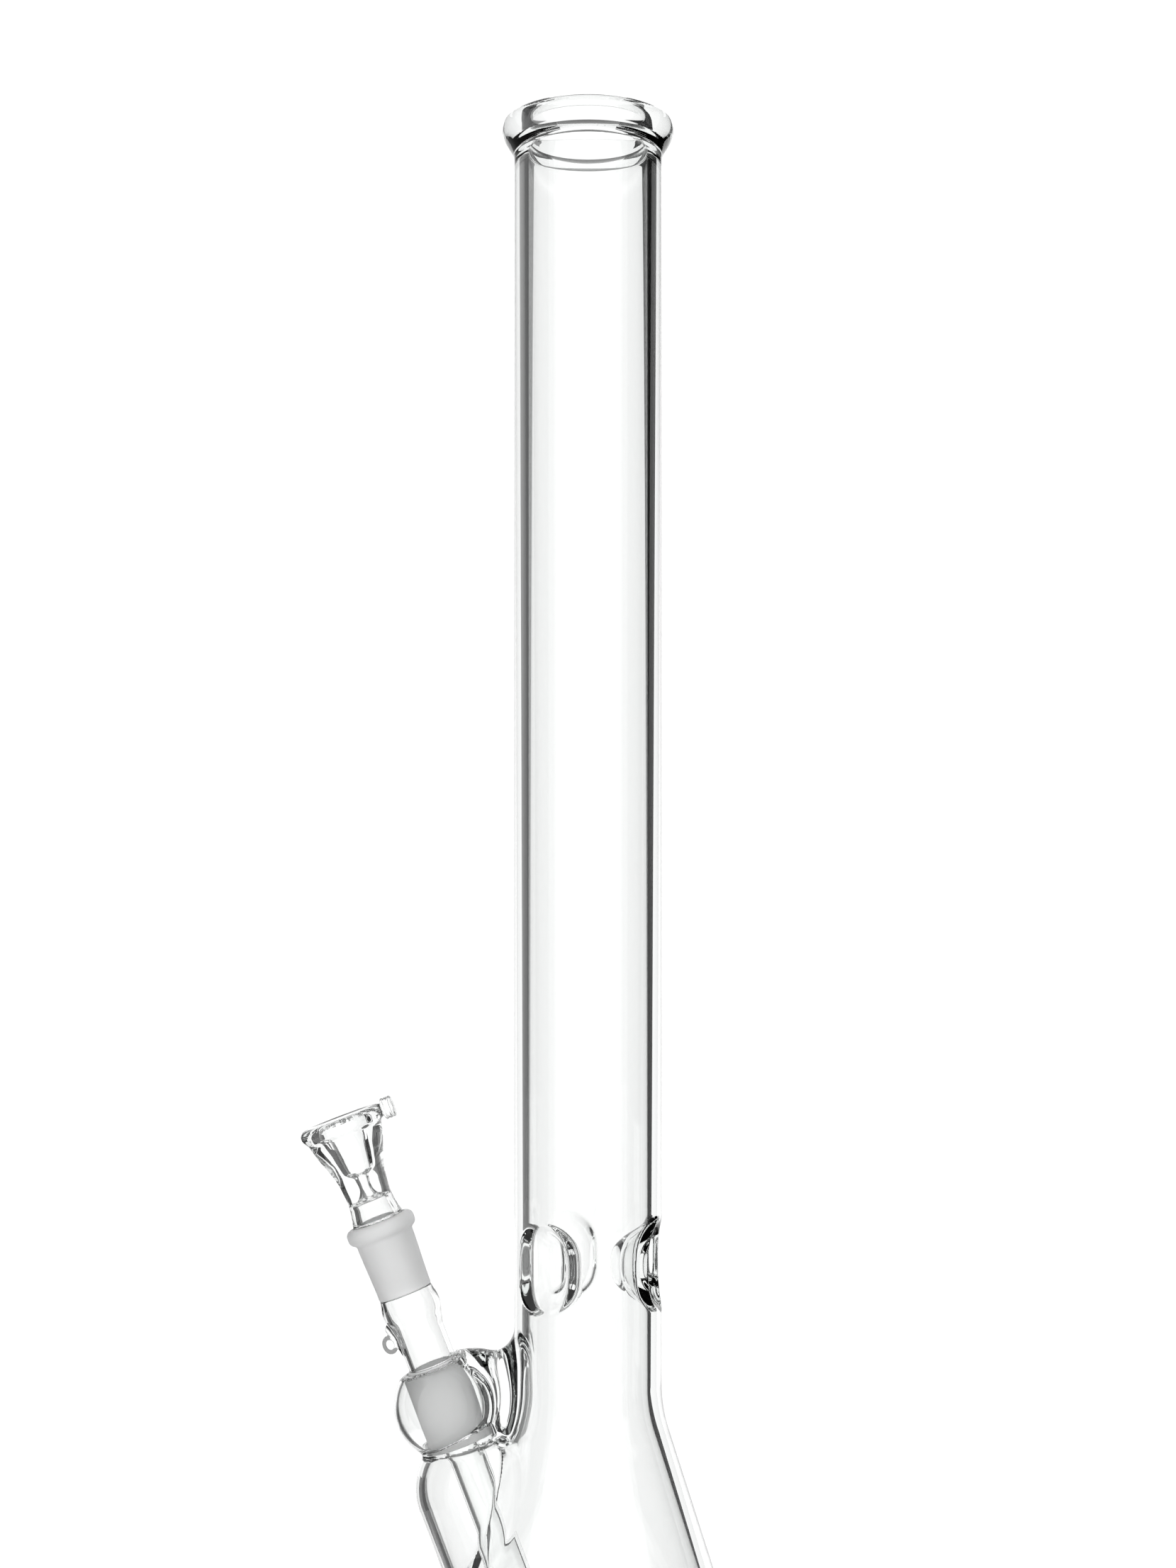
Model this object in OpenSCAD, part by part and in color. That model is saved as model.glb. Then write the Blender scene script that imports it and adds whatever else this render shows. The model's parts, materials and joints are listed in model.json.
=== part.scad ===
// Clear glass water pipe with a beaker base: a straight neck with a rolled mouthpiece
// and three ice notches, a side arm with a hollow ball joint, a removable downstem
// and a removable bowl. Both loose pieces sit in 1:10 ground taper joints.
// Millimetres, +Z up, origin at the centre of the underside of the base.

/* [Neck] */
// Outer diameter of the neck
neck_d = 52; // [50:0.5:54]
// Wall thickness of the neck and the base
wall = 5; // [4.5:0.25:5.5]
// Height where the straight neck turns into the beaker
kink_h = 120; // [119:0.5:122]
// Height of the top of the mouthpiece
total_h = 575; // [480:5:620]
// Radius of the round section of the mouthpiece bead
lip_r = 5.5; // [5:0.25:6]
// Height of the middle of the ice notches above the kink
notch_h = 51; // [48:1:90]
// How far each ice notch reaches in from the bore
notch_depth = 13; // [9:0.5:14]
// Radius of the round end of each ice notch
notch_r = 9; // [7:0.5:10]
// Turn of the three ice notches about the neck, away from the side joint's plane
notch_turn = -10; // [-15:1:15]

/* [Beaker base] */
// Half angle of the beaker's cone
cone_a = 17.8; // [17.4:0.1:18.4]
// Radius of the round heel of the base
heel_r = 12; // [10:0.5:14]

/* [Side joint] */
// Lean of the joint's axis away from the neck
tilt = 20.8; // [20.4:0.1:21.2]
// Distance of the joint's mouth from the neck's axis
mouth_x = 54.6; // [54:0.2:55.6]
// Height of the joint's mouth
mouth_z = 134.8; // [134:0.2:135.6]
// Outer diameter of the hollow ball
ball_d = 38.4; // [38:0.2:39]
// Outer diameter of the side arm
arm_d = 45; // [44:0.5:46]

/* [Ground joints] */
// Wide end of each 1:10 ground taper
taper_d = 18.8; // [18.6:0.1:19]
// Length of each ground taper
taper_l = 26; // [24:1:27]
// Radial clearance between a ground cone and its socket
ground_gap = 0.075; // [0.05:0.005:0.1]

/* [Downstem] */
// Outer diameter of the long tube that dips into the water
dip_d = 13; // [12:0.5:14]
// Reach of the dip tube below the joint's mouth
dip_l = 128; // [110:1:130]
// Number of diffuser slots in the end of the dip tube
slot_count = 6; // [4:1:8]

/* [Bowl] */
// Outer diameter of the bowl's rolled rim
rim_d = 30.4; // [29:0.2:32]
// Height of the bowl's rim above the mouth of its socket
bowl_h = 36; // [34:0.5:40]

/* [Hidden] */
$fn = 96;

clear_glass = [0.86, 0.9, 0.9, 0.5];
ground_glass = [0.78, 0.8, 0.8, 0.9];
neck_r = neck_d / 2;
bore_r = neck_r - wall;
far = 200;

// Mouthpiece: a round bead whose section is centred on the neck's wall
lip_z = total_h - lip_r;
lip_ring_r = neck_r - wall / 2 + 1;
lip_base_z = lip_z - 11;

// Ice notch: a rod with a round end pushes the wall inwards, and leaves notch_skin of glass
// round itself and notch_tip at its end
notch_z = kink_h + notch_h;
notch_skin = 3;
notch_tip = 5;

// Beaker: a cone tangent to a round heel, both found from the cone's half angle
cone_c = neck_r * cos(cone_a) + kink_h * sin(cone_a);
heel_x = (cone_c - heel_r * (1 + sin(cone_a))) / cos(cone_a);
inner_kink_h = (cone_c - wall - bore_r * cos(cone_a)) / sin(cone_a);

// Side arm and ball, as distances below the mouth along the joint's axis
ball_r = ball_d / 2;
ball_wall = 1.8;
ball_drop = 15;
arm_r = arm_d / 2;
arm_wall = 3.2;
dome_drop = 46;
arm_l = 60;
dome_step = 7.5;
socket_r = 11.2;
socket_l = 29;

// Web between the ball and the neck, and the thick side of the ball that it grows from
web_r = 6.5;
web_low_z = 111.5;
web_high_z = 132.9;
thick_x = -38;

// Downstem, as distances above the mouth along the joint's axis
taper_end_d = taper_d - taper_l / 10;
cone_top_t = 0.5;
cone_bore_r = 6.2;
stem_r = 8.6;
stem_bore_r = 6.9;
stem_l = 13;
bulge_r = 10.4;
bulge_t = 21.5;
socket_t = 27.4;
bead_t = 48.7;
bowl_seat_t = 54.7;
bead_r = 12.4;
dip_r = dip_d / 2;
dip_wall = 1.5;
dip_shoulder = 5;
slot_w = 1;
slot_l = 20;
eyelet_t = 12;
eyelet_r = 2.35;
rod_r = 0.75;

// Bowl, as distances above the mouth of its own socket
rim_ring_r = 2.7;
rim_r = rim_d / 2;
rim_t = bowl_h - 0.1;
waist_r = 7.9;
waist_t = 8.8;
cup_bottom_t = 17;
draft_hole_r = 1.6;
cup_top_r = rim_r - 2 * rim_ring_r;
knob_r = 3.9;
knob_ring_w = 1.35;

// Places children on the joint's axis, t above its mouth
module on_joint(t = 0) {
    translate([-mouth_x, 0, mouth_z]) rotate([0, -tilt, 0]) translate([0, 0, t])
        children();
}

// Radius of a seated ground cone at height t above the mouth of its socket
function cone_r(t) = taper_d / 2 + t / 20;

// Solid of revolution from a list of [radius, height] points
module turned(points) {
    rotate_extrude() polygon(points);
}

// A rod of radius r along X with a round end at the origin
module round_rod(r) {
    sphere(r);
    rotate([0, 90, 0]) cylinder(r = r, h = neck_d);
}

// Places a rod's round end against each notch's tip, moved outwards by out
module at_notches(r, out = 0) {
    for (a = [0, 120, 240])
        rotate([0, 0, a + notch_turn])
            translate([bore_r - notch_depth + r + out, 0, notch_z]) round_rod(r);
}

module neck_tube() {
    color(clear_glass) difference() {
        union() {
            difference() {
                translate([0, 0, kink_h]) cylinder(r = neck_r, h = lip_base_z - kink_h);
                cylinder(r = bore_r, h = total_h);
            }
            intersection() {
                at_notches(notch_r);
                cylinder(r = neck_r - 1, h = total_h);
            }
        }
        at_notches(notch_r - notch_skin, notch_tip);
    }
}

module mouthpiece_lip() {
    color(clear_glass) translate([0, 0, lip_z]) rotate_extrude() {
        translate([lip_ring_r, 0]) circle(lip_r);
        polygon([[bore_r, lip_base_z - lip_z], [neck_r, lip_base_z - lip_z],
                 [neck_r + 0.6, -7.5], [neck_r + 2, -4.2], [lip_ring_r, 0],
                 [bore_r - 0.6, -4], [bore_r, -6]]);
    }
}

// Outline of the beaker, moved inwards by inset
module beaker_profile(inset) {
    top_h = inset > 0 ? inner_kink_h : kink_h;
    top_r = neck_r - inset;
    r = heel_r - inset;
    translate([heel_x, heel_r]) circle(r);
    polygon([[0, inset], [heel_x, inset], [heel_x + r * cos(cone_a), heel_r + r * sin(cone_a)],
             [top_r, top_h], [top_r, kink_h + (inset > 0 ? 1 : 0)],
             [0, kink_h + (inset > 0 ? 1 : 0)]]);
}

module beaker_solid() {
    rotate_extrude() beaker_profile(0);
}

// The arm's outside or inside: a long cylinder with a round end, turned in short cones
module arm_form(r) {
    on_joint(-dome_drop)
        turned([[0, -arm_l], [r, -arm_l],
                for (a = [0 : dome_step : 90]) [r * cos(a), r * sin(a)]]);
}

module beaker_base() {
    color(clear_glass) difference() {
        rotate_extrude() difference() {
            beaker_profile(0);
            beaker_profile(wall);
        }
        arm_form(arm_r - arm_wall);
    }
}

module joint_arm() {
    color(clear_glass) difference() {
        arm_form(arm_r);
        arm_form(arm_r - arm_wall);
        on_joint(-dome_drop) cylinder(r = socket_r, h = dome_drop);
        beaker_solid();
    }
}

// Upright slab of glass with round edges, from the middle of the ball to the neck's axis
module web() {
    start_x = -mouth_x + ball_drop * sin(tilt);
    for (z = [web_low_z, web_high_z])
        translate([start_x, 0, z]) rotate([0, 90, 0]) cylinder(r = web_r, h = -start_x);
    translate([start_x, -web_r, web_low_z])
        cube([-start_x, 2 * web_r, web_high_z - web_low_z]);
}

// Hollow ball, thick on the side where a web of glass joins it to the neck
module joint_ball() {
    color(clear_glass) difference() {
        union() {
            on_joint(-ball_drop) sphere(ball_r);
            web();
        }
        intersection() {
            on_joint(-ball_drop) sphere(ball_r - ball_wall);
            translate([thick_x - far, -far / 2, 0]) cube(far);
        }
        on_joint(-far / 2) cylinder(r = socket_r, h = far);
        on_joint(0) cylinder(r = ball_r, h = ball_r);
        arm_form(arm_r);
        cylinder(r = neck_r, h = far);
        beaker_solid();
    }
}

// Female ground socket inside the ball
module joint_socket() {
    wide = taper_d / 2 + ground_gap;
    narrow = taper_end_d / 2 + ground_gap;
    color(ground_glass) on_joint(-socket_l) difference() {
        cylinder(r = socket_r, h = socket_l);
        translate([0, 0, -1]) cylinder(r = narrow, h = socket_l + 2);
        translate([0, 0, socket_l - taper_l])
            cylinder(r1 = narrow, r2 = wide, h = taper_l + 0.001);
    }
}

// Female ground socket on top of the downstem, with its rolled bead
module adapter_socket() {
    wide = taper_d / 2 + ground_gap;
    narrow = taper_end_d / 2 + ground_gap;
    bead_h = bowl_seat_t - bead_t;
    edge = 2.4;
    color(ground_glass) on_joint(socket_t) difference() {
        union() {
            cylinder(r1 = 9.6, r2 = 10.3, h = bead_t - socket_t + edge);
            translate([0, 0, bead_t - socket_t]) rotate_extrude() {
                translate([bead_r - edge, edge]) circle(edge);
                translate([bead_r - edge, bead_h - edge]) circle(edge);
                square([bead_r - edge, bead_h]);
                translate([0, edge]) square([bead_r, bead_h - 2 * edge]);
            }
        }
        translate([0, 0, -1]) cylinder(r = narrow, h = 3);
        translate([0, 0, bowl_seat_t - socket_t - taper_l])
            cylinder(r1 = narrow, r2 = wide, h = taper_l + 0.001);
    }
}

// Clear tube between the ground cone and the upper socket, with its blown bulge
module stem_tube() {
    inner_top = taper_end_d / 2 + ground_gap;
    color(clear_glass) on_joint()
        turned([[stem_bore_r, cone_top_t], [stem_r, cone_top_t], [stem_r, stem_l], [stem_r + 0.5, 15],
                [bulge_r - 0.5, 18], [bulge_r, 20], [bulge_r, bulge_t + 1.5],
                [9.6, socket_t], [inner_top, socket_t], [inner_top + 0.3, bulge_t],
                [inner_top - 0.2, 18.5], [stem_bore_r + 0.2, 15.5],
                [stem_bore_r, stem_l]]);
}

// Male ground cone that seats in the ball
module ground_cone() {
    color(ground_glass) on_joint(cone_top_t - taper_l) difference() {
        cylinder(r1 = cone_r(cone_top_t - taper_l), r2 = cone_r(cone_top_t), h = taper_l);
        translate([0, 0, -1]) cylinder(r = cone_bore_r, h = taper_l + 2);
        translate([0, 0, taper_l - 1]) cylinder(r1 = cone_bore_r, r2 = stem_bore_r, h = 1.01);
    }
}

// Long open tube below the cone, with diffuser slots cut in its end
module dip_tube() {
    top = cone_top_t - taper_l;
    color(clear_glass) on_joint() difference() {
        turned([[dip_r - dip_wall, -dip_l], [dip_r, -dip_l], [dip_r, top - dip_shoulder],
                [cone_r(top), top], [cone_bore_r, top],
                [dip_r - dip_wall, top - dip_shoulder]]);
        for (i = [0 : slot_count - 1])
            rotate([0, 0, (i + 0.5) * 360 / slot_count])
                translate([0, -slot_w / 2, -dip_l - 1]) cube([dip_r + 1, slot_w, slot_l + 1]);
    }
}

// Small glass loop for a spring or a band, on a drop of glass on the stem's side
module eyelet() {
    color(clear_glass) on_joint() {
        translate([-stem_r - 3.1, 0, eyelet_t]) rotate([90, 0, 0])
            rotate_extrude() translate([eyelet_r, 0]) circle(rod_r);
        difference() {
            translate([-stem_r - 0.3, 0, eyelet_t - 3.5]) {
                cylinder(r1 = 0.5, r2 = 1.5, h = 6);
                translate([0, 0, 6]) sphere(1.5);
            }
            translate([0, 0, -1]) cylinder(r = stem_r, h = stem_l + 1);
            translate([0, 0, stem_l - 0.01]) cylinder(r1 = stem_r, r2 = stem_r + 0.5, h = 2.01);
            translate([0, 0, 15 - 0.01])
                cylinder(r1 = stem_r + 0.5, r2 = bulge_r - 0.5, h = 3.01);
        }
    }
}

// Male ground cone of the bowl
module bowl_cone() {
    end_t = cone_top_t - taper_l;
    color(ground_glass) on_joint(bowl_seat_t + end_t) difference() {
        cylinder(r1 = cone_r(end_t), r2 = cone_r(0), h = -end_t);
        translate([0, 0, -1]) cylinder(r = cone_bore_r, h = taper_l + 2);
    }
}

// Clear waist between the ground cone and the cup
module bowl_stem() {
    color(clear_glass) on_joint(bowl_seat_t)
        turned([[cone_bore_r, 0], [taper_d / 2 - 0.2, 0], [taper_d / 2 - 0.8, 3],
                [waist_r + 0.15, 6.5], [waist_r, waist_t], [waist_r - 2, waist_t],
                [cone_bore_r, 5]]);
}

// Thick conical cup with a draft hole in its floor
module bowl_cup() {
    color(clear_glass) on_joint(bowl_seat_t) difference() {
        turned([[0, waist_t], [waist_r, waist_t], [8.2, 12], [8.8, 17.5], [10.2, 22],
                [12, 27], [13.2, 31.5], [rim_r - 2, rim_t - rim_ring_r + 1.2],
                [0, rim_t - rim_ring_r + 1.2]]);
        translate([0, 0, waist_t - 1]) cylinder(r = draft_hole_r, h = cup_bottom_t);
        turned([[0, cup_bottom_t], [2.8, cup_bottom_t + 0.3], [4, cup_bottom_t + 2.5],
                [4.8, 24], [5.6, 29], [7.2, 33], [cup_top_r - 0.6, rim_t], [0, rim_t]]);
        rim_ring();
    }
}

module rim_ring() {
    translate([0, 0, rim_t]) rotate_extrude()
        translate([rim_r - rim_ring_r, 0]) circle(rim_ring_r);
}

module bowl_rim() {
    color(clear_glass) on_joint(bowl_seat_t) rim_ring();
}

// Grip on the rim: a short neck and three rings
module bowl_knob() {
    ring_start = rim_r + 0.2;
    color(clear_glass) on_joint(bowl_seat_t) difference() {
        translate([0, 0, rim_t]) rotate([0, 90, 0]) {
            translate([0, 0, rim_r - rim_ring_r]) cylinder(r = 2.2, h = rim_ring_r + 1);
            for (i = [0 : 2])
                translate([0, 0, ring_start + (i + 0.5) * knob_ring_w]) rotate_extrude() {
                    ring_edge = knob_ring_w / 2 + 0.05;
                    translate([knob_r - ring_edge, 0]) circle(ring_edge);
                    translate([0, -ring_edge]) square([knob_r - ring_edge, 2 * ring_edge]);
                }
        }
        rim_ring();
    }
}

neck_tube();
mouthpiece_lip();
beaker_base();
joint_arm();
joint_ball();
joint_socket();
adapter_socket();
stem_tube();
ground_cone();
dip_tube();
eyelet();
bowl_cone();
bowl_stem();
bowl_cup();
bowl_rim();
bowl_knob();
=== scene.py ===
"""Looks of a clear glass water pipe with a beaker base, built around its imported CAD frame.

The pipe, the downstem and the bowl are each blown from one piece of glass, so each is meshed here
as one seamless surface. A form is written as a field: a function of position that is negative in
the glass and zero on its surface. surface_net() turns a field into a closed quad mesh.
Lengths in the fields are millimetres; the meshes, the camera and the stage are in metres.
"""

import json
import math

import bpy
import numpy as np
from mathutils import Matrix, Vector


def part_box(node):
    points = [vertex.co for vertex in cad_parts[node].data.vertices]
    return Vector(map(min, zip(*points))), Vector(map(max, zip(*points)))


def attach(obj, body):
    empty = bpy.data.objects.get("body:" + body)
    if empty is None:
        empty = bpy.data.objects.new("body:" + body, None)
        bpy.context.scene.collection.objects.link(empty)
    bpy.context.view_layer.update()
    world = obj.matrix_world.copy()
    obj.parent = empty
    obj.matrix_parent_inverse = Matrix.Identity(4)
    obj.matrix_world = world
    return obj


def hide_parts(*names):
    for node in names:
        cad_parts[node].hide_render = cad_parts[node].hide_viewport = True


MM = 0.001
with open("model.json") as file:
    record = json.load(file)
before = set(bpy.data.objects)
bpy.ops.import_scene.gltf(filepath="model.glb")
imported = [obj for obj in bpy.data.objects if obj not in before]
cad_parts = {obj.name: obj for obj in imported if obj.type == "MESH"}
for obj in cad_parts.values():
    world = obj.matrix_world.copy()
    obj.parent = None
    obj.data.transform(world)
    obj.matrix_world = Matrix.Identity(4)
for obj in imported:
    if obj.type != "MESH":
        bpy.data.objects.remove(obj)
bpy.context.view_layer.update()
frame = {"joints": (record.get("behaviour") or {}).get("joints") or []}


# ---------------------------------------------------------------- sizes from the frame

def box_mm(node):
    """Lowest and highest corner of a CAD node, in millimetres."""
    return [np.array(corner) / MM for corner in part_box(node)]


NECK_R = box_mm("neck_tube")[1][0]
TOP_Z = box_mm("mouthpiece_lip")[1][2]
LIP_OUT_R = box_mm("mouthpiece_lip")[1][0]
KINK_Z = box_mm("neck_tube")[0][2]
BASE_R = box_mm("beaker_base")[1][0]

# The side joint's axis points up and away from the neck
AXIS = np.array(frame["joints"][0]["axis"], float)
ACROSS = np.array([AXIS[2], 0.0, -AXIS[0]])
socket_lo, socket_hi = box_mm("joint_socket")
SOCKET_R = socket_hi[1]
MOUTH = np.array([socket_lo[0] + SOCKET_R * AXIS[2], 0.0, socket_hi[2] + SOCKET_R * AXIS[0]])

# Neck, beaker and lip
WALL = 5.0
BORE_R = NECK_R - WALL
LIP_R = 5.5
LIP_Z = TOP_Z - LIP_R
LIP_FILLET_IN = 1.5
LIP_FILLET_OUT = 5.0
CONE_A = math.radians(17.8)
HEEL_R = 12.0
HEEL_X = BASE_R - HEEL_R
CONE_C = NECK_R * math.cos(CONE_A) + KINK_Z * math.sin(CONE_A)
KINK_BLEND = 2.5

# Ice notches, pressed into the neck at even turns
NOTCH_Z = KINK_Z + 51.0
NOTCH_DEPTH = 13.0
NOTCH_TURN = -10.0
NOTCH_HALF_W = 12.0
NOTCH_HALF_H = 16.5

# Side arm and ball, with distances below the mouth along the axis
BALL_R = 19.2
BALL_WALL = 1.8
BALL_DROP = 15.0
BALL_FILLET = 2.5
BALL_FILLET_INNER = 8.5
ARM_R = 22.5
ARM_WALL = 3.2
ARM_FILLET = 5.0
ARM_FILLET_INSIDE = 6.0
DOME_DROP = 46.0
ARM_L = 100.0
SOCKET_L = 29.0
SOCKET_COVER = 1.1
SEAT_GAP = 0.05
SEAT_EXTRA = 1.5

# How far the ball's hollow is off centre, which makes the ball thick on the neck's side
THICK_SHIFT = 2.5

# Web of glass between the ball and the neck
WEB_HALF = 6.5
WEB_TOP = 139.4
WEB_LOW = 103.0
WEB_FILLET = 9.0

# Ground tapers and the downstem, with distances above the mouth
TAPER_R = 9.4
TAPER_L = 26.0
GROUND_GAP = 0.075
CONE_TOP = 0.5
CONE_BORE_R = 6.2
STEM_BORE_R = 6.9
SOCKET_T = 27.4
BEAD_T = 48.7
SEAT_T = 54.7
BEAD_R = 12.4
DIP_R = 6.5
DIP_WALL = 1.5
DIP_L = 128.0
SHOULDER_L = 5.0
SLOTS = 6
SLOT_W = 1.0
SLOT_L = 20.0

# Eyelet on the downstem: (distance off the axis, distance above the mouth), and radii
DROP_TOP, DROP_TOP_R = (-9.7, 17.0), 1.8
DROP_END, DROP_END_R = (-8.3, 7.5), 0.5
LOOP_CENTRE = (-11.65, 12.0)
LOOP_RADII = (2.0, 2.6)
LOOP_ROD_R = 0.75

# Gap between two meshed pieces that meet at a flat face
FACE_GAP = 0.02

# Bowl, with heights above its seat
RIM_RING_R = 2.7
RIM_R = 15.2
RIM_T = 35.9
CUP_FLOOR_T = 17.0
WAIST_T = 8.8
DRAFT_R = 1.6
KNOB_STUB_R = 2.2
KNOB_R = 3.9
KNOB_RIBS = 3
KNOB_RIB_W = 1.35


# ---------------------------------------------------------------- fields

def length(*parts):
    """Length of the vector with these parts."""
    return np.sqrt(sum(p * p for p in parts))


def between(value, low, high):
    """Negative where value lies between low and high, as a distance from the nearer end."""
    return np.abs(value - (low + high) / 2) - (high - low) / 2


def join(a, b, r):
    """Both forms, with a fillet of radius r where they meet."""
    return np.maximum(r, np.minimum(a, b)) - length(np.maximum(r - a, 0), np.maximum(r - b, 0))


def common(a, b, r):
    """What both forms share, with its edge rounded to radius r."""
    return -join(-a, -b, r)


def cut(a, b, r):
    """The first form less the second, with the edge rounded to radius r."""
    return -join(-a, b, r)


def melt(a, b, k):
    """Both forms, flowing into each other where they are within k."""
    return np.minimum(a, b) - np.maximum(k - np.abs(a - b), 0) ** 2 / (4 * k)


def wheel(x, y, z, r, edge):
    """A disc of radius r in the XZ plane, its rim rounded to radius edge."""
    return length(np.maximum(length(x, z) - (r - edge), 0), y) - edge


def smooth_radius(t, *points):
    """Radius at t on a smooth curve through (t, radius) points, level beyond its ends."""
    at, radius = np.array(points, float).T
    slope = np.gradient(radius, at)
    slope[[0, -1]] = 0
    t = np.clip(t, at[0], at[-1])
    i = np.clip(np.searchsorted(at, t) - 1, 0, len(at) - 2)
    span = at[i + 1] - at[i]
    s = (t - at[i]) / span
    rise = (radius[i + 1] - radius[i]) * s * s * (3 - 2 * s)
    lean = span * s * (1 - s) * (slope[i] * (1 - s) - slope[i + 1] * s)
    return radius[i] + rise + lean


def beaker(rho, z, inset):
    """A cone tangent to a round heel, moved inwards by inset."""
    side = rho * math.cos(CONE_A) + z * math.sin(CONE_A) - CONE_C
    out, up = rho - HEEL_X, z - HEEL_R
    in_heel = (out > 0) & (up * math.cos(CONE_A) < out * math.sin(CONE_A))
    return np.where(in_heel, length(out, up) - HEEL_R, np.maximum(side, -z)) + inset


def notches(x, y, z):
    """How far the three ice notches push the neck's wall inwards at a point."""
    depth = 0.0
    for turn in (0, 120, 240):
        angle = math.radians(turn + NOTCH_TURN)
        out = x * math.cos(angle) + y * math.sin(angle)
        along = y * math.cos(angle) - x * math.sin(angle)
        spot = (along / NOTCH_HALF_W) ** 2 + np.abs((z - NOTCH_Z) / NOTCH_HALF_H) ** 3
        press = NOTCH_DEPTH * (1 - np.minimum(spot, 1)) ** 2
        depth = np.maximum(depth, np.where(out > 0, press, 0))
    return depth


def pipe_field(x, y, z):
    """Neck, lip, beaker, arm, ball and web, with room for the ground socket in the ball."""
    rho = length(x, y)
    above = KINK_Z / 2 - z
    pressed = notches(x, y, z)
    outside = melt(np.maximum(rho + pressed - NECK_R, above), beaker(rho, z, 0), KINK_BLEND)
    outside = np.maximum(outside, z - LIP_Z)
    inside = melt(np.maximum(rho + pressed - BORE_R, above), beaker(rho, z, WALL), KINK_BLEND)

    dx, dz = x - MOUTH[0], z - MOUTH[2]
    t = dx * AXIS[0] + dz * AXIS[2]
    v = dx * ACROSS[0] + dz * ACROSS[2]
    reach = length(v, y)
    web = common(np.abs(y) - WEB_HALF, between(z, WEB_LOW, WEB_TOP), WEB_HALF)
    web = np.maximum(web, np.maximum(x + NECK_R - WALL, MOUTH[0] + BALL_DROP / 2 - x))
    dome = length(v, y, np.maximum(t + DOME_DROP, 0))
    arm_end = -(t + ARM_L)
    from_ball = length(v, y, t + BALL_DROP)

    outside = join(outside, web, WEB_FILLET)
    outside = join(outside, np.maximum(dome - ARM_R, arm_end), ARM_FILLET)
    # 0 on the ball's outer side and 1 near the neck, where its fillet is wider
    neck_side = np.clip((x - MOUTH[0] - 3) / 15, 0, 1)
    outside = join(outside, common(from_ball - BALL_R, t, 1.2),
                   BALL_FILLET + (BALL_FILLET_INNER - BALL_FILLET) * neck_side)
    inside = join(inside, np.maximum(dome - ARM_R + ARM_WALL, arm_end), ARM_FILLET_INSIDE)
    off_centre = length(v + THICK_SHIFT * ACROSS[0], y, t + BALL_DROP + THICK_SHIFT * AXIS[0])
    hollow_r = BALL_R - BALL_WALL
    hollow = common(from_ball - hollow_r, off_centre - hollow_r, 3)
    hollow = cut(hollow, dome - ARM_R, 1.5)
    inside = np.minimum(inside, hollow)
    seat = np.maximum(reach - SOCKET_R - SEAT_GAP,
                      between(t, -SOCKET_L - SEAT_EXTRA, -SOCKET_COVER))
    mouth = np.maximum(reach - TAPER_R - GROUND_GAP, -SOCKET_L / 2 - t)
    inside = np.minimum(inside, np.minimum(seat, mouth))

    glass = np.maximum(outside, -inside)
    lip = length(rho - LIP_OUT_R + LIP_R, z - LIP_Z) - LIP_R
    outer_side = np.clip((rho - BORE_R) / WALL, 0, 1)
    return join(glass, lip, LIP_FILLET_IN + (LIP_FILLET_OUT - LIP_FILLET_IN) * outer_side)


def stem_field(v, y, t):
    """Clear tube between the ground cone and the upper socket, with the eyelet fused to it."""
    reach = length(v, y)
    outside = reach - smooth_radius(t, (12.5, 8.6), (16, 9.3), (20.5, 10.45), (23, 10.4),
                                    (SOCKET_T, 9.6))
    inside = reach - smooth_radius(t, (13.5, STEM_BORE_R), (16.5, 7.2), (19.5, 8.2),
                                   (23, 8.5), (SOCKET_T, 8.2))
    tube = cut(outside, inside, 0.3)
    share = np.clip((t - DROP_END[1]) / (DROP_TOP[1] - DROP_END[1]), 0, 1)
    drop = length(v - DROP_END[0] - (DROP_TOP[0] - DROP_END[0]) * share,
                  y, t - DROP_END[1] - (DROP_TOP[1] - DROP_END[1]) * share)
    drop = drop - DROP_END_R - (DROP_TOP_R - DROP_END_R) * share
    ring = length((v - LOOP_CENTRE[0]) / LOOP_RADII[0], (t - LOOP_CENTRE[1]) / LOOP_RADII[1])
    loop = length((ring - 1) * 2.25, y) - LOOP_ROD_R
    glass = join(join(tube, drop, 1.0), loop, 0.5)
    return common(glass, between(t, CONE_TOP, SOCKET_T) + FACE_GAP, 0.25)


def dip_field(v, y, t):
    """Open tube below the ground cone, with diffuser slots in its end."""
    reach = length(v, y)
    top = CONE_TOP - TAPER_L
    outside = reach - smooth_radius(t, (top - SHOULDER_L, DIP_R), (top, cone_r(top)))
    inside = reach - smooth_radius(t, (top - SHOULDER_L, DIP_R - DIP_WALL), (top, CONE_BORE_R))
    tube = common(cut(outside, inside, 0.4), np.maximum(t - top + FACE_GAP, -DIP_L - t), 0.4)
    angle = np.arctan2(y, v)
    step = 2 * math.pi / SLOTS
    off = (angle / step - np.floor(angle / step) - 0.5) * step
    slot = length(reach * np.sin(off), np.maximum(t + DIP_L - SLOT_L, 0)) - SLOT_W / 2
    return cut(tube, slot, 0.3)


def cone_r(t):
    """Radius of a seated ground cone, t above the mouth of its socket."""
    return TAPER_R + t / 20


def ground_cone_field(top):
    """Male ground cone whose wide end is top above its socket's mouth."""
    def field(v, y, t):
        reach = length(v, y)
        end = CONE_TOP - TAPER_L
        wall = cut(reach - cone_r(t), reach - CONE_BORE_R, 0.3)
        return common(wall, np.maximum(t - top, end - t), 0.35)
    return field


def taper_cavity(reach, t):
    """Room for a ground cone, with its mouth at t = 0."""
    return reach - (cone_r(np.clip(t, -TAPER_L, 0)) + GROUND_GAP)


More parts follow.
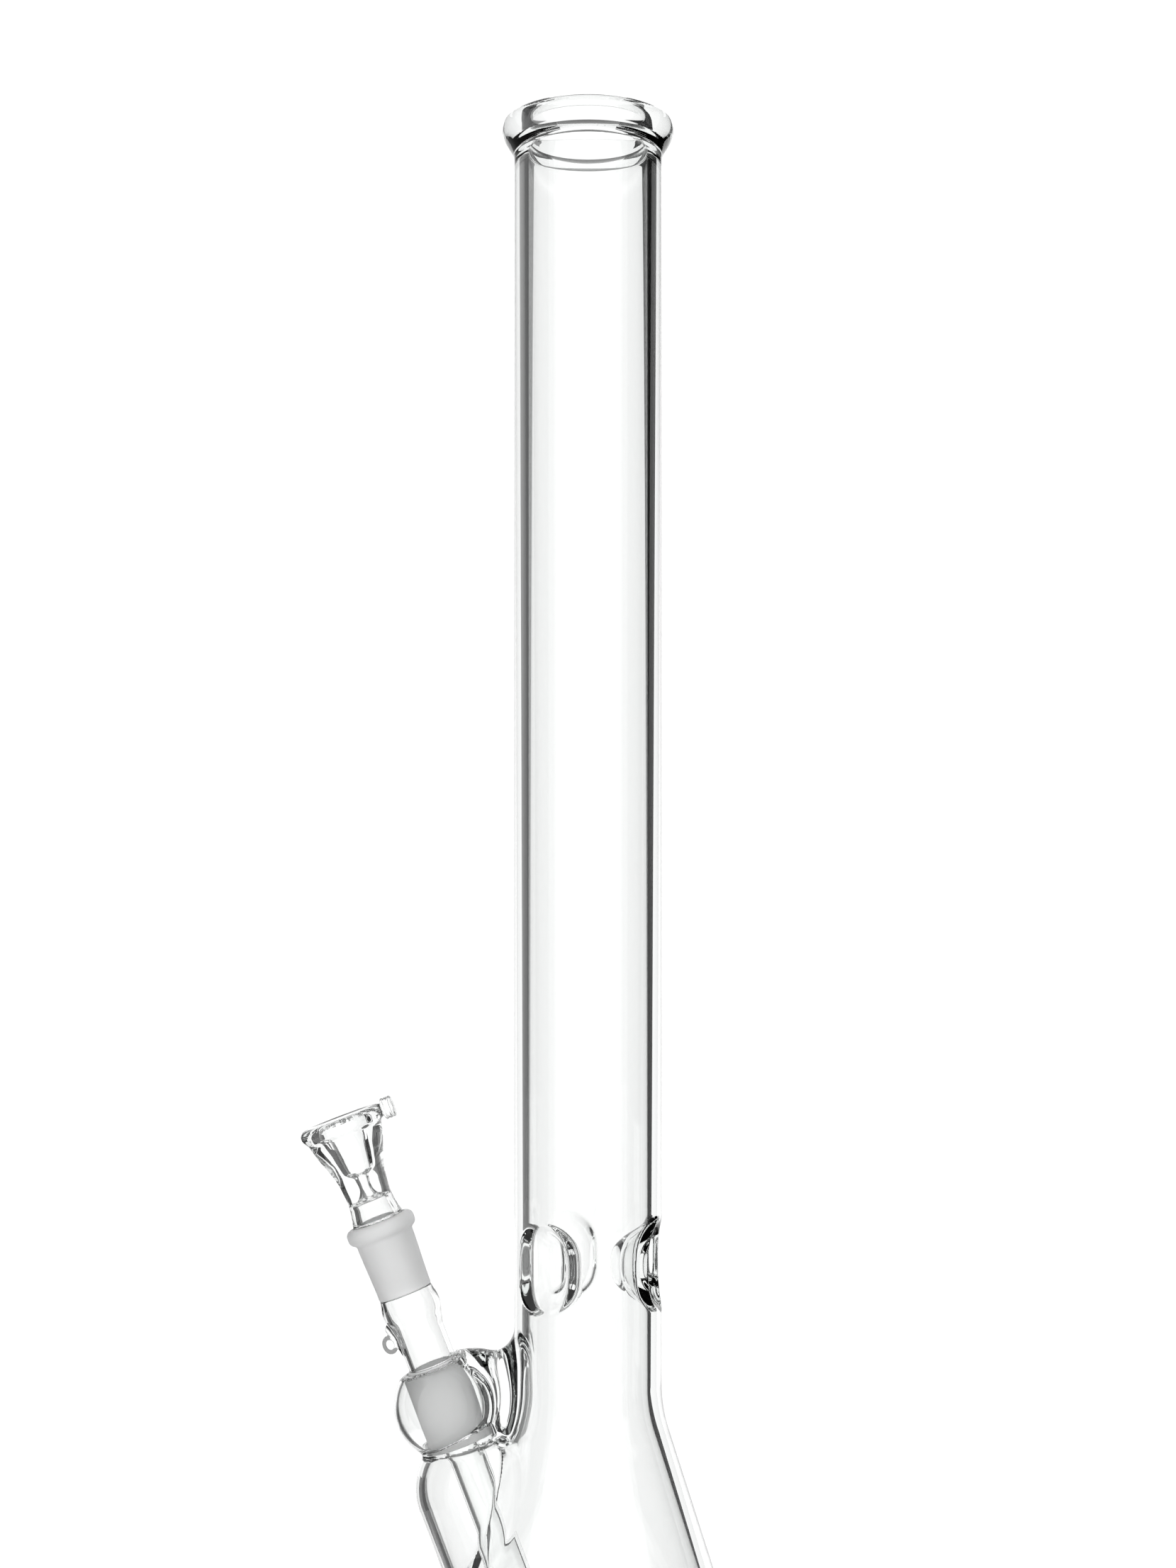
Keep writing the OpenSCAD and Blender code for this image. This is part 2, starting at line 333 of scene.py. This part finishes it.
def joint_socket_field(v, y, t):
    """Female ground socket inside the ball."""
    reach = length(v, y)
    wall = cut(reach - SOCKET_R, taper_cavity(reach, t), 0.3)
    return common(wall, np.maximum(t + SOCKET_COVER + SEAT_GAP, -SOCKET_L - t), 0.35)


def adapter_socket_field(v, y, t):
    """Female ground socket on top of the downstem, with its rolled bead."""
    reach = length(v, y)
    side = reach - smooth_radius(t, (SOCKET_T, 9.6), (BEAD_T, 10.3))
    edge = 2.4
    bead = length(np.maximum(reach - BEAD_R + edge, 0),
                  np.maximum(between(t, BEAD_T, SEAT_T) + edge, 0)) - edge
    outside = join(side, bead, 0.8)
    ends = np.maximum(t - SEAT_T, SOCKET_T + FACE_GAP - t)
    return common(cut(outside, taper_cavity(reach, t - SEAT_T), 0.5), ends, 0.5)


def bowl_field(v, y, t):
    """Clear glass of the bowl: waist, thick cup, rolled rim and ribbed grip."""
    reach = length(v, y)
    outside = reach - smooth_radius(t, (-1, 9.35), (0, 9.3), (3, 8.6), (6.5, 8.05), (WAIST_T, 7.9),
                                    (12, 8.15), (17.5, 8.9), (22, 10.3), (27, 12.1), (31.5, 13.3),
                                    (RIM_T, 13.6))
    cup = reach - smooth_radius(t, (CUP_FLOOR_T, 3.0), (19.5, 4.0), (24, 4.8), (29, 5.6),
                                (33, 7.2), (RIM_T, 9.2))
    cup = common(cup, CUP_FLOOR_T - t, 2.5)
    lower = common(reach - smooth_radius(t, (0, CONE_BORE_R), (5, 5.6), (WAIST_T, 5.7)),
                   t - WAIST_T, 2.5)
    funnel = reach - smooth_radius(t, (WAIST_T - 2, 3.4), (12.5, DRAFT_R), (CUP_FLOOR_T, 1.8))
    hole = np.maximum(funnel, t - RIM_T)
    inside = join(join(cup, hole, 0.8), lower, 0.8)
    glass = np.maximum(np.maximum(outside, t - RIM_T), -inside)
    rim = length(reach - RIM_R + RIM_RING_R, t - RIM_T) - RIM_RING_R
    glass = join(glass, rim, 1.5)
    stub = np.maximum(length(y, t - RIM_T) - KNOB_STUB_R, np.abs(v - RIM_R) - RIM_RING_R)
    glass = join(glass, stub, 1.0)
    for i in range(KNOB_RIBS):
        middle = RIM_R + 0.2 + (i + 0.5) * KNOB_RIB_W
        rib = wheel(y, v - middle, t - RIM_T, KNOB_R, KNOB_RIB_W / 2 + 0.05)
        glass = join(glass, rib, 0.3)
    return common(glass, FACE_GAP - t, 0.25)


# ---------------------------------------------------------------- meshing

def grid_line(*marks):
    """Grid positions from (start, step) pairs, ending at the last mark."""
    parts = [np.linspace(a, b, max(1, round((b - a) / step)), endpoint=False)
             for (a, step), (b, _) in zip(marks, marks[1:])]
    return np.concatenate(parts + [[marks[-1][0]]])


def gradient(field, p):
    """Slope of the field at each point, from differences over a small step h."""
    h = 0.02
    sides = []
    for axis in range(3):
        step = np.zeros(3)
        step[axis] = h
        sides.append((field(*(p + step).T) - field(*(p - step).T)) / (2 * h))
    return np.stack(sides, 1)


def project(field, p, rounds):
    """Moves points onto the surface along the field's gradient."""
    for _ in range(rounds):
        g = gradient(field, p)
        p = p - (field(*p.T) / np.maximum((g * g).sum(1), 0.05))[:, None] * g
    return p


def surface_net(field, xs, ys, zs):
    """Points, quads and normals of the closed surface where the field is zero."""
    lines = (xs, ys, zs)
    # The field is sampled 16 layers at a time, to save memory
    slabs = [field(xs[:, None, None].astype(np.float32), ys[None, :, None].astype(np.float32),
                   zs[None, None, k:k + 16].astype(np.float32)) for k in range(0, len(zs), 16)]
    d = np.concatenate(slabs, 2)
    solid = d < 0
    corners = [(i, j, k) for i in (0, 1) for j in (0, 1) for k in (0, 1)]
    shape = [n - 1 for n in d.shape]

    def shifted(a, c):
        return a[c[0]:c[0] + shape[0], c[1]:c[1] + shape[1], c[2]:c[2] + shape[2]]

    count = sum(shifted(solid, c).astype(np.int8) for c in corners)
    cell = np.stack(np.nonzero((count > 0) & (count < 8)), 1)
    number = np.full(shape, -1, np.int64)
    number[tuple(cell.T)] = np.arange(len(cell))

    total, hits = np.zeros((len(cell), 3)), np.zeros(len(cell))
    for a in corners:
        for axis in range(3):
            if a[axis]:
                continue
            b = list(a)
            b[axis] = 1
            ia, ib = cell + np.array(a), cell + np.array(b)
            da, db = d[tuple(ia.T)], d[tuple(ib.T)]
            crossing = (da < 0) != (db < 0)
            share = np.where(crossing, da / np.where(crossing, da - db, 1), 0)
            p = np.stack([lines[n][ia[:, n]] for n in range(3)], 1)
            far_end = lines[axis][ib[:, axis]]
            p[:, axis] += share * (far_end - p[:, axis])
            total += p * crossing[:, None]
            hits += crossing
    points = total / hits[:, None]

    quads = []
    for axis in range(3):
        one, two = [n for n in range(3) if n != axis]
        a = np.moveaxis(solid, axis, 0)
        change = np.moveaxis(a[:-1] != a[1:], 0, axis)
        inner = [slice(None)] * 3
        inner[one] = inner[two] = slice(1, -1)
        edge = np.stack(np.nonzero(change[tuple(inner)]), 1)
        edge[:, one] += 1
        edge[:, two] += 1
        ring = []
        for back_one, back_two in ((1, 1), (0, 1), (0, 0), (1, 0)):
            at = edge.copy()
            at[:, one] -= back_one
            at[:, two] -= back_two
            ring.append(number[tuple(at.T)])
        ring = np.stack(ring, 1)
        flip = solid[tuple(edge.T)] == (axis == 1)
        ring[flip] = ring[flip][:, ::-1]
        quads.append(ring)
    quads = np.concatenate(quads)

    points = project(field, points, 3)
    for _ in range(4):
        total, hits = np.zeros_like(points), np.zeros(len(points))
        for n in range(4):
            np.add.at(total, quads[:, n], points[quads[:, n - 1]] + points[quads[:, n - 3]])
            np.add.at(hits, quads[:, n], 2)
        points = project(field, 0.5 * points + 0.5 * total / hits[:, None], 2)
    normals = gradient(field, points)
    normals /= np.maximum(np.linalg.norm(normals, axis=1), 1e-9)[:, None]
    return points, quads, normals


def glass_piece(name, field, grid, body, replaced, material, on_joint=None):
    """A meshed piece. A piece on the joint's axis is meshed upright and then leans with the axis;
    on_joint is the height of its origin above the mouth."""
    points, quads, normals = surface_net(field, *grid)
    if on_joint is not None:
        turn = np.stack([ACROSS, [0.0, 1.0, 0.0], AXIS])
        points = points @ turn + MOUTH + AXIS * on_joint
        normals = normals @ turn
    mesh = bpy.data.meshes.new(name)
    mesh.vertices.add(len(points))
    mesh.vertices.foreach_set("co", (points * MM).astype(np.float32).ravel())
    mesh.loops.add(4 * len(quads))
    mesh.loops.foreach_set("vertex_index", quads.astype(np.int32).ravel())
    mesh.polygons.add(len(quads))
    mesh.polygons.foreach_set("loop_start", np.arange(0, 4 * len(quads), 4, dtype=np.int32))
    mesh.update(calc_edges=True)
    mesh.validate()
    mesh.shade_smooth()
    mesh.normals_split_custom_set_from_vertices(normals.astype(np.float32))
    piece = bpy.data.objects.new(name, mesh)
    bpy.context.scene.collection.objects.link(piece)
    mesh.materials.append(material)
    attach(piece, body)
    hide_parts(*replaced)


# ---------------------------------------------------------------- materials

GLASS_IOR = 1.474


def new_material(name, kind="ShaderNodeBsdfPrincipled"):
    """A material with one shader node of that kind on its output."""
    material = bpy.data.materials.new(name)
    material.use_nodes = True
    tree = material.node_tree
    tree.nodes.clear()
    out = tree.nodes.new("ShaderNodeOutputMaterial")
    shader = tree.nodes.new(kind)
    tree.links.new(shader.outputs[0], out.inputs["Surface"])
    return material, tree, shader, out


def noise(tree, scale, stretch, detail):
    """Noise in object coordinates. Its grain is 1 / stretch as long along each axis."""
    place = tree.nodes.new("ShaderNodeTexCoord")
    mapping = tree.nodes.new("ShaderNodeMapping")
    mapping.inputs["Scale"].default_value = stretch
    texture = tree.nodes.new("ShaderNodeTexNoise")
    texture.inputs["Scale"].default_value = scale
    texture.inputs["Detail"].default_value = detail
    tree.links.new(place.outputs["Object"], mapping.inputs["Vector"])
    tree.links.new(mapping.outputs["Vector"], texture.inputs["Vector"])
    return texture.outputs["Fac"]


def spread(tree, value, low, high):
    """Maps a noise value onto low to high."""
    node = tree.nodes.new("ShaderNodeMapRange")
    node.inputs["From Min"].default_value = 0.3
    node.inputs["From Max"].default_value = 0.7
    node.inputs["To Min"].default_value = low
    node.inputs["To Max"].default_value = high
    tree.links.new(value, node.inputs["Value"])
    return node.outputs["Result"]


def bump(tree, height, distance, strength):
    node = tree.nodes.new("ShaderNodeBump")
    node.inputs["Distance"].default_value = distance
    node.inputs["Strength"].default_value = strength
    tree.links.new(height, node.inputs["Height"])
    return node.outputs["Normal"]


def make_clear_glass():
    """Borosilicate: faint draw lines along the tube, slightly uneven polish, slight tint."""
    material, tree, shader, out = new_material("clear_borosilicate")
    shader.inputs["Base Color"].default_value = (0.99, 0.995, 0.992, 1)
    shader.inputs["Transmission Weight"].default_value = 1.0
    shader.inputs["IOR"].default_value = GLASS_IOR
    tree.links.new(spread(tree, noise(tree, 60, (1, 1, 0.4), 3), 0.0, 0.015),
                   shader.inputs["Roughness"])
    waves = noise(tree, 45, (1, 1, 0.12), 1.5)
    tree.links.new(bump(tree, waves, 0.0004, 0.05), shader.inputs["Normal"])
    depth = tree.nodes.new("ShaderNodeVolumeAbsorption")
    depth.inputs["Color"].default_value = (0.80, 0.83, 0.82, 1)
    depth.inputs["Density"].default_value = 7.0
    tree.links.new(depth.outputs["Volume"], out.inputs["Volume"])
    return material


def make_ground_glass(name, clearness):
    """Ground glass: a matt surface with fine grinding grain, more or less translucent."""
    material, tree, shader, _ = new_material(name)
    tint = tree.nodes.new("ShaderNodeValToRGB")
    tint.color_ramp.elements[0].color = (0.995, 1, 1, 1)
    tint.color_ramp.elements[1].color = (1, 1, 1, 1)
    tree.links.new(noise(tree, 220, (1, 1, 3), 4), tint.inputs["Fac"])
    tree.links.new(tint.outputs["Color"], shader.inputs["Base Color"])
    shader.inputs["Transmission Weight"].default_value = clearness
    shader.inputs["IOR"].default_value = GLASS_IOR
    tree.links.new(spread(tree, noise(tree, 900, (1, 1, 2), 2), 0.5, 0.7),
                   shader.inputs["Roughness"])
    grain = noise(tree, 4000, (1, 1, 2.5), 2)
    tree.links.new(bump(tree, grain, 0.0001, 0.25), shader.inputs["Normal"])
    return material


def make_table_top():
    """Matt pale surface that also gives off a little light of its own."""
    material, _, shader, _ = new_material("pale_table")
    shader.inputs["Base Color"].default_value = (0.8, 0.8, 0.8, 1)
    shader.inputs["Roughness"].default_value = 0.9
    shader.inputs["Emission Color"].default_value = (1, 1, 1, 1)
    shader.inputs["Emission Strength"].default_value = 0.12
    return material


# ---------------------------------------------------------------- the object

clear = make_clear_glass()
ground = make_ground_glass("ground_glass", 0.45)
seated_ground = make_ground_glass("ground_glass_seated", 0.12)

# Grids have small steps where the form is small, and long ones along straight tube
coarser = 1.0
pipe_grid = (
    grid_line((-80, 0.8 * coarser), (-17, 1.2 * coarser), (62, 1)),
    grid_line((-62, 1.6 * coarser), (-24, 0.9 * coarser), (24, 1.6 * coarser), (62, 1)),
    grid_line((-1.5, 1.0 * coarser), (22, 1.8 * coarser), (38, 0.8 * coarser),
              (188, 4.5 * coarser), (550, 0.8 * coarser), (577, 1)),
)
glass_piece("pipe_glass", pipe_field, pipe_grid, "pipe",
            ["neck_tube", "mouthpiece_lip", "beaker_base", "joint_arm", "joint_ball"],
            clear)


def joint_grid(left, right, step, *along):
    """Grid about the joint's axis, with its own reach on the side away from the neck."""
    side = grid_line((-right, step), (right, 1))
    return grid_line((-left, step), (right, 1)), side, grid_line(*along)


glass_piece("ball_socket_ground", joint_socket_field,
            joint_grid(12, 12, 0.6, (-32, 0.6), (-28, 2), (-4, 0.6), (0.5, 1)),
            "pipe", ["joint_socket"], seated_ground, on_joint=0)
glass_piece("downstem_glass", stem_field,
            joint_grid(16, 11.5, 0.4, (-0.5, 0.5), (28.5, 1)),
            "downstem", ["stem_tube", "eyelet"], clear, on_joint=0)
glass_piece("downstem_ground_cone", ground_cone_field(CONE_TOP),
            joint_grid(10.5, 10.5, 0.6, (-26.5, 0.5), (-22, 2), (-3, 0.5), (1.5, 1)),
            "downstem", ["ground_cone"], seated_ground, on_joint=0)
glass_piece("downstem_dip_tube", dip_field,
            joint_grid(9, 9, 0.5, (-129, 0.5), (-104, 2), (-33, 0.6), (-24.5, 1)),
            "downstem", ["dip_tube"], clear, on_joint=0)
glass_piece("downstem_ground_socket", adapter_socket_field,
            joint_grid(13.5, 13.5, 0.55, (26.5, 0.5), (31, 1.5), (45, 0.5), (56, 1)),
            "downstem", ["adapter_socket"], ground, on_joint=0)
glass_piece("bowl_glass", bowl_field,
            joint_grid(16.5, 20.5, 0.5, (-0.8, 0.5), (40, 1)),
            "bowl", ["bowl_stem", "bowl_cup", "bowl_rim", "bowl_knob"],
            clear, on_joint=SEAT_T)
glass_piece("bowl_ground_cone", ground_cone_field(0.0),
            joint_grid(10.5, 10.5, 0.6, (-26.5, 0.5), (-22, 2), (-3, 0.5), (1, 1)),
            "bowl", ["bowl_cone"], ground, on_joint=SEAT_T)


# ---------------------------------------------------------------- camera and stage

CAMERA_Z = 0.302
CAMERA_FAR = 0.915
LENS = 59.6
CAMERA_SHIFT = 0.068

camera = bpy.data.objects.new("camera", bpy.data.cameras.new("camera"))
bpy.context.scene.collection.objects.link(camera)
camera.data.lens = LENS
camera.data.sensor_width = 36
camera.data.shift_y = CAMERA_SHIFT
camera.location = (0, -CAMERA_FAR, CAMERA_Z)
camera.rotation_euler = (math.pi / 2, 0, 0)
bpy.context.scene.camera = camera


def flat_mesh(name, corners, material):
    """Flat stage piece of one face."""
    mesh = bpy.data.meshes.new(name)
    mesh.from_pydata(corners, [], [list(range(len(corners)))])
    mesh.materials.append(material)
    item = bpy.data.objects.new(name, mesh)
    bpy.context.scene.collection.objects.link(item)
    return item


# A round table top, out of the photographed view
TABLE_R = 0.22
table_ring = [(TABLE_R * math.cos(a), TABLE_R * math.sin(a), 0)
              for a in np.linspace(0, 2 * math.pi, 96, endpoint=False)]
table = flat_mesh("floor", table_ring, make_table_top())
table.visible_transmission = False

# Clear glass only shows what is round it. Flags stand far behind the object, cards beside and
# close behind it, and only the glass sees them. A tone of WHITE is the same as the world.
WHITE = 1.08
DARK = 0.10
FLAG_BACK = 3.2
FLAG_LOW = (-1.1, -0.7)
SIDE_OUT = 3.0
SIDE_NEAR = 0.6
CARD_Y = 0.034
FAR_CARD_Y = 0.060


def add_card(name, corners, material, shades_diffuse=False, on_camera=False):
    """Stage card that the camera does not see; on_camera puts it on the camera's stand."""
    card = flat_mesh(name, corners, material)
    if on_camera:
        card.parent = camera
    card.visible_camera = False
    card.visible_shadow = False
    card.visible_diffuse = shades_diffuse


def even_tone(name, tone):
    """Material that gives off one even tone."""
    material, _, glow, _ = new_material(name, "ShaderNodeEmission")
    glow.inputs["Strength"].default_value = tone
    return material


def add_flag(name, corners, near, far, tones, low_share):
    """Flag on the camera's stand that goes from tones[0] at X = near to tones[1] at X = far,
    and has only low_share of that below FLAG_LOW."""
    material, tree, glow, _ = new_material(name, "ShaderNodeEmission")
    place = tree.nodes.new("ShaderNodeTexCoord")
    split = tree.nodes.new("ShaderNodeSeparateXYZ")
    tree.links.new(place.outputs["Object"], split.inputs["Vector"])
    product = tree.nodes.new("ShaderNodeMath")
    product.operation = "MULTIPLY"
    ramps = (("X", near, far, *tones), ("Y", *FLAG_LOW, low_share, 1))
    for (axis, start, end, low, high), socket in zip(ramps, product.inputs):
        tone = tree.nodes.new("ShaderNodeMapRange")
        tone.inputs["From Min"].default_value = start
        tone.inputs["From Max"].default_value = end
        tone.inputs["To Min"].default_value = low
        tone.inputs["To Max"].default_value = high
        tree.links.new(split.outputs[axis], tone.inputs["Value"])
        tree.links.new(tone.outputs["Result"], socket)
    tree.links.new(product.outputs["Value"], glow.inputs["Strength"])
    add_card(name, [(x, y, -FLAG_BACK) for x, y in corners], material, on_camera=True)


# The left flag is grey and the right one nearly black
add_flag("flag_left", [(-0.95, -3.2), (-4, -3.2), (-4, 1.9), (-0.62, 1.5), (-1.66, -0.47),
                       (-1.2, -0.95)], -0.9, -2.3, (0.36, 0.12), 0.35)
add_flag("flag_right", [(3.4, -2.2), (4, -2.2), (4, 1.9), (0.47, 1.5), (2.06, -0.47)],
         0.9, 2.3, (0.035, 0.004), 1)
add_flag("flag_top", [(-4, 1.9), (4, 1.9), (4, 8.0), (-4, 8.0)], 0, 1, (0.12, 0.12), 1)
add_flag("flag_bottom", [(-0.95, -2.2), (3.4, -2.2), (3.4, -7), (-0.95, -7)],
         0, 1, (0.2, 0.2), 1)


def add_upright_card(name, y, corners, tone):
    """Card that stands still at y, given by its (x, z) corners."""
    add_card(name, [(x, y, z) for x, z in corners], even_tone(name, tone))


# White cards keep the dark flags out of the web and the ball
add_upright_card("card_right", CARD_Y,
                 [(-0.040, 0.125), (-0.008, 0.125), (-0.008, 0.215), (-0.040, 0.215)], WHITE)
# Dark cards draw the left edges of the arm and of the downstem
add_upright_card("card_low", FAR_CARD_Y,
                 [(-0.076, 0.030), (-0.260, 0.010), (-0.260, 0.088), (-0.092, 0.088)], DARK)
add_upright_card("card_high", FAR_CARD_Y,
                 [(-0.110, 0.150), (-0.270, 0.150), (-0.300, 0.290), (-0.150, 0.290)], DARK)
# A small grey card right behind the eyelet makes its thin loop show
eyelet_corners = [MOUTH + ACROSS * across + AXIS * up + np.array([0, 1.7, 0])
                  for across, up in ((-14.6, 8.6), (-10.2, 8.6), (-10.2, 15.4), (-14.6, 15.4))]
add_card("card_eyelet", [tuple(corner * MM) for corner in eyelet_corners],
         even_tone("card_eyelet", 0.30))
add_upright_card("card_web", CARD_Y,
                 [(-0.060, 0.100), (-0.030, 0.100), (-0.030, 0.130), (-0.060, 0.130)], WHITE)

# Side cards close the flags' outer ends and shade the ground glass
for name, x, tone in (("side_left", -SIDE_OUT, DARK), ("side_right", SIDE_OUT, 0.02)):
    add_card(name, [(x, -3, -FLAG_BACK), (x, -3, SIDE_NEAR), (x, 3, SIDE_NEAR), (x, 3, -FLAG_BACK)],
             even_tone(name, tone), shades_diffuse=True, on_camera=True)

world = bpy.data.worlds.new("studio")
bpy.context.scene.world = world
world.use_nodes = True
world.node_tree.nodes["Background"].inputs["Color"].default_value = (1, 1, 1, 1)
world.node_tree.nodes["Background"].inputs["Strength"].default_value = WHITE

bpy.context.scene.view_settings.view_transform = "Standard"
bpy.context.scene.cycles.max_bounces = 24
bpy.context.scene.cycles.transmission_bounces = 24
bpy.context.scene.cycles.glossy_bounces = 8
bpy.context.scene.cycles.diffuse_bounces = 10
